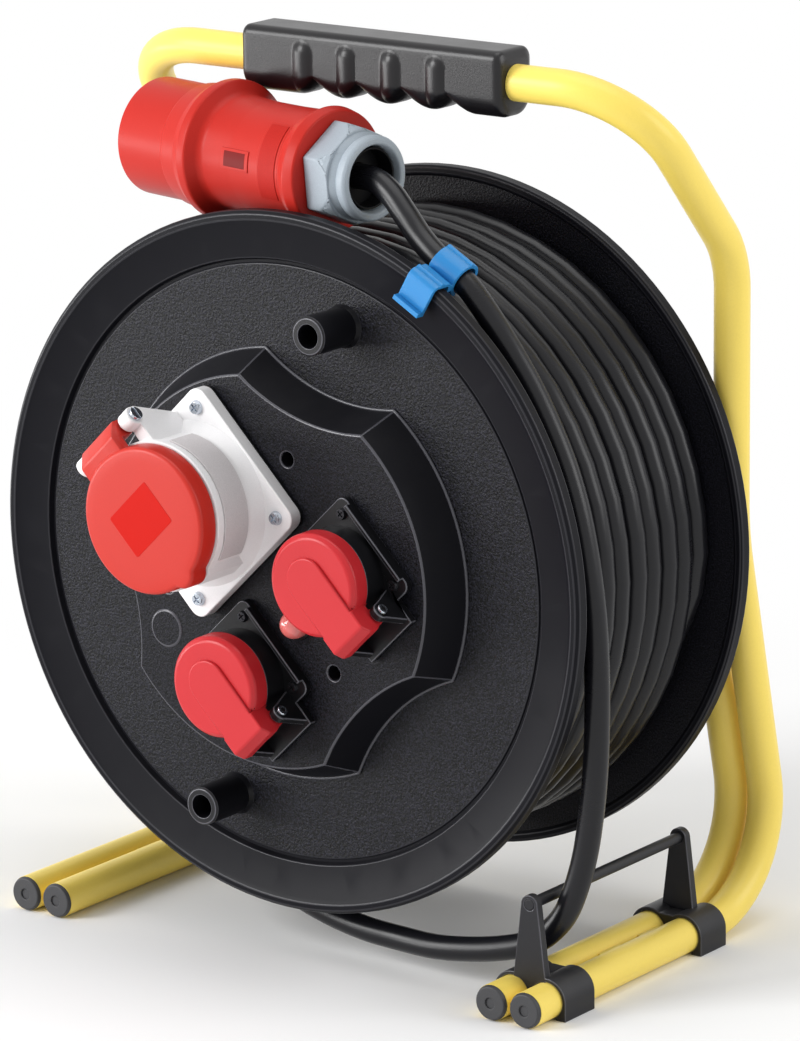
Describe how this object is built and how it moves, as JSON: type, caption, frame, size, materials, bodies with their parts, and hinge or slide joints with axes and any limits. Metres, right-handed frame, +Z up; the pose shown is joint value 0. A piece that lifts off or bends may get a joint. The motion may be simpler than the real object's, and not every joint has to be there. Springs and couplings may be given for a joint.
{
  "type": "extension cord reel",
  "caption": "Cable drum turning on a bent tube stand with a carry grip, sprung outlet lids, wound cable, a five pole plug, a rim clip and a cable guide at the foot",
  "frame": {"origin": "on the floor under the middle of the stand and drum", "axes": "+X to the right seen from the outlet side, +Y to the back along the drum axis, +Z up"},
  "size_m": [0.3112, 0.2385, 0.4],
  "materials": {
    "yellow_tube": "satin",
    "black_plastic": "satin",
    "drum_plastic": "grainy",
    "grip_rubber": "satin",
    "cable_rubber": "satin",
    "red_plastic": "gloss",
    "grey_plastic": "satin",
    "blue_plastic": "gloss",
    "lamp_plastic": "gloss",
    "steel": "satin",
    "brass": "satin"
  },
  "bodies": {
    "stand": {"frame_outer_tube": "yellow_tube", "frame_inner_tube": "yellow_tube", "tube_lugs": "yellow_tube", "foot_caps": "black_plastic", "hand_grip": "grip_rubber", "guide_clamp_front": "black_plastic", "guide_clamp_rear": "black_plastic", "guide_rod": "black_plastic", "axle": "steel", "axle_saddles": "black_plastic", "axle_washer": "steel", "axle_nut": "steel", "axle_front_washer": "steel", "retaining_ring": "steel", "cord_free": "cable_rubber", "cable_clip": "blue_plastic", "gland_nut": "grey_plastic", "gland_seal": "cable_rubber", "plug_housing": "red_plastic", "plug_pin_carrier": "black_plastic", "plug_pins": "brass"},
    "drum": {"front_flange": "drum_plastic", "rear_flange": "drum_plastic", "drum_core": "drum_plastic", "core_screws_front": "steel", "core_screws_rear": "steel", "hub_bush_front": "grey_plastic", "hub_bush_rear": "grey_plastic", "winding_posts": "black_plastic", "cable_winding_core": "cable_rubber", "cable_winding": "cable_rubber", "cable_entry_clamp": "black_plastic", "socket_panel": "drum_plastic", "panel_screws": "steel", "lamp_holder": "black_plastic", "lamp_lens": "lamp_plastic", "terminal_block": "grey_plastic", "cee_gasket": "cable_rubber", "cee_housing": "grey_plastic", "cee_contact_carrier": "black_plastic", "cee_contact_sleeves": "brass", "cee_flange_screws": "steel", "cee_hinge_pin": "steel", "cee_lid_spring": "steel", "socket_a_housing": "black_plastic", "socket_a_insert": "black_plastic", "socket_a_contacts": "brass", "socket_a_screws": "steel", "socket_a_hinge_pin": "steel", "socket_a_spring": "steel", "socket_b_housing": "black_plastic", "socket_b_insert": "black_plastic", "socket_b_contacts": "brass", "socket_b_screws": "steel", "socket_b_hinge_pin": "steel", "socket_b_spring": "steel"},
    "cee_lid_body": {"cee_lid": "red_plastic", "cee_lid_gasket": "cable_rubber"},
    "socket_a_lid_body": {"socket_a_lid": "red_plastic"},
    "socket_b_lid_body": {"socket_b_lid": "red_plastic"}
  },
  "joints": [
    {"name": "drum_spin", "type": "hinge", "parent": "stand", "child": "drum", "pos_m": [0, 0.00571, 0.178], "axis": [0, -1, 0], "continuous": true},
    {"name": "cee_lid_hinge", "type": "hinge", "parent": "drum", "child": "cee_lid_body", "pos_m": [-0.05572, -0.10629, 0.2347], "axis": [-0.7133, 0, -0.7009], "range_deg": [0, 100], "stiffness_Nm_per_rad": 0.04, "springref_deg": -45.84},
    {"name": "socket_a_lid_hinge", "type": "hinge", "parent": "drum", "child": "socket_a_lid_body", "pos_m": [0.01039, -0.08829, 0.11321], "axis": [0.7133, 0, 0.7009], "range_deg": [0, 100], "stiffness_Nm_per_rad": 0.02, "springref_deg": -45.84},
    {"name": "socket_b_lid_hinge", "type": "hinge", "parent": "drum", "child": "socket_b_lid_body", "pos_m": [0.0646, -0.08829, 0.16648], "axis": [0.7133, 0, 0.7009], "range_deg": [0, 100], "stiffness_Nm_per_rad": 0.02, "springref_deg": -45.84}
  ]
}
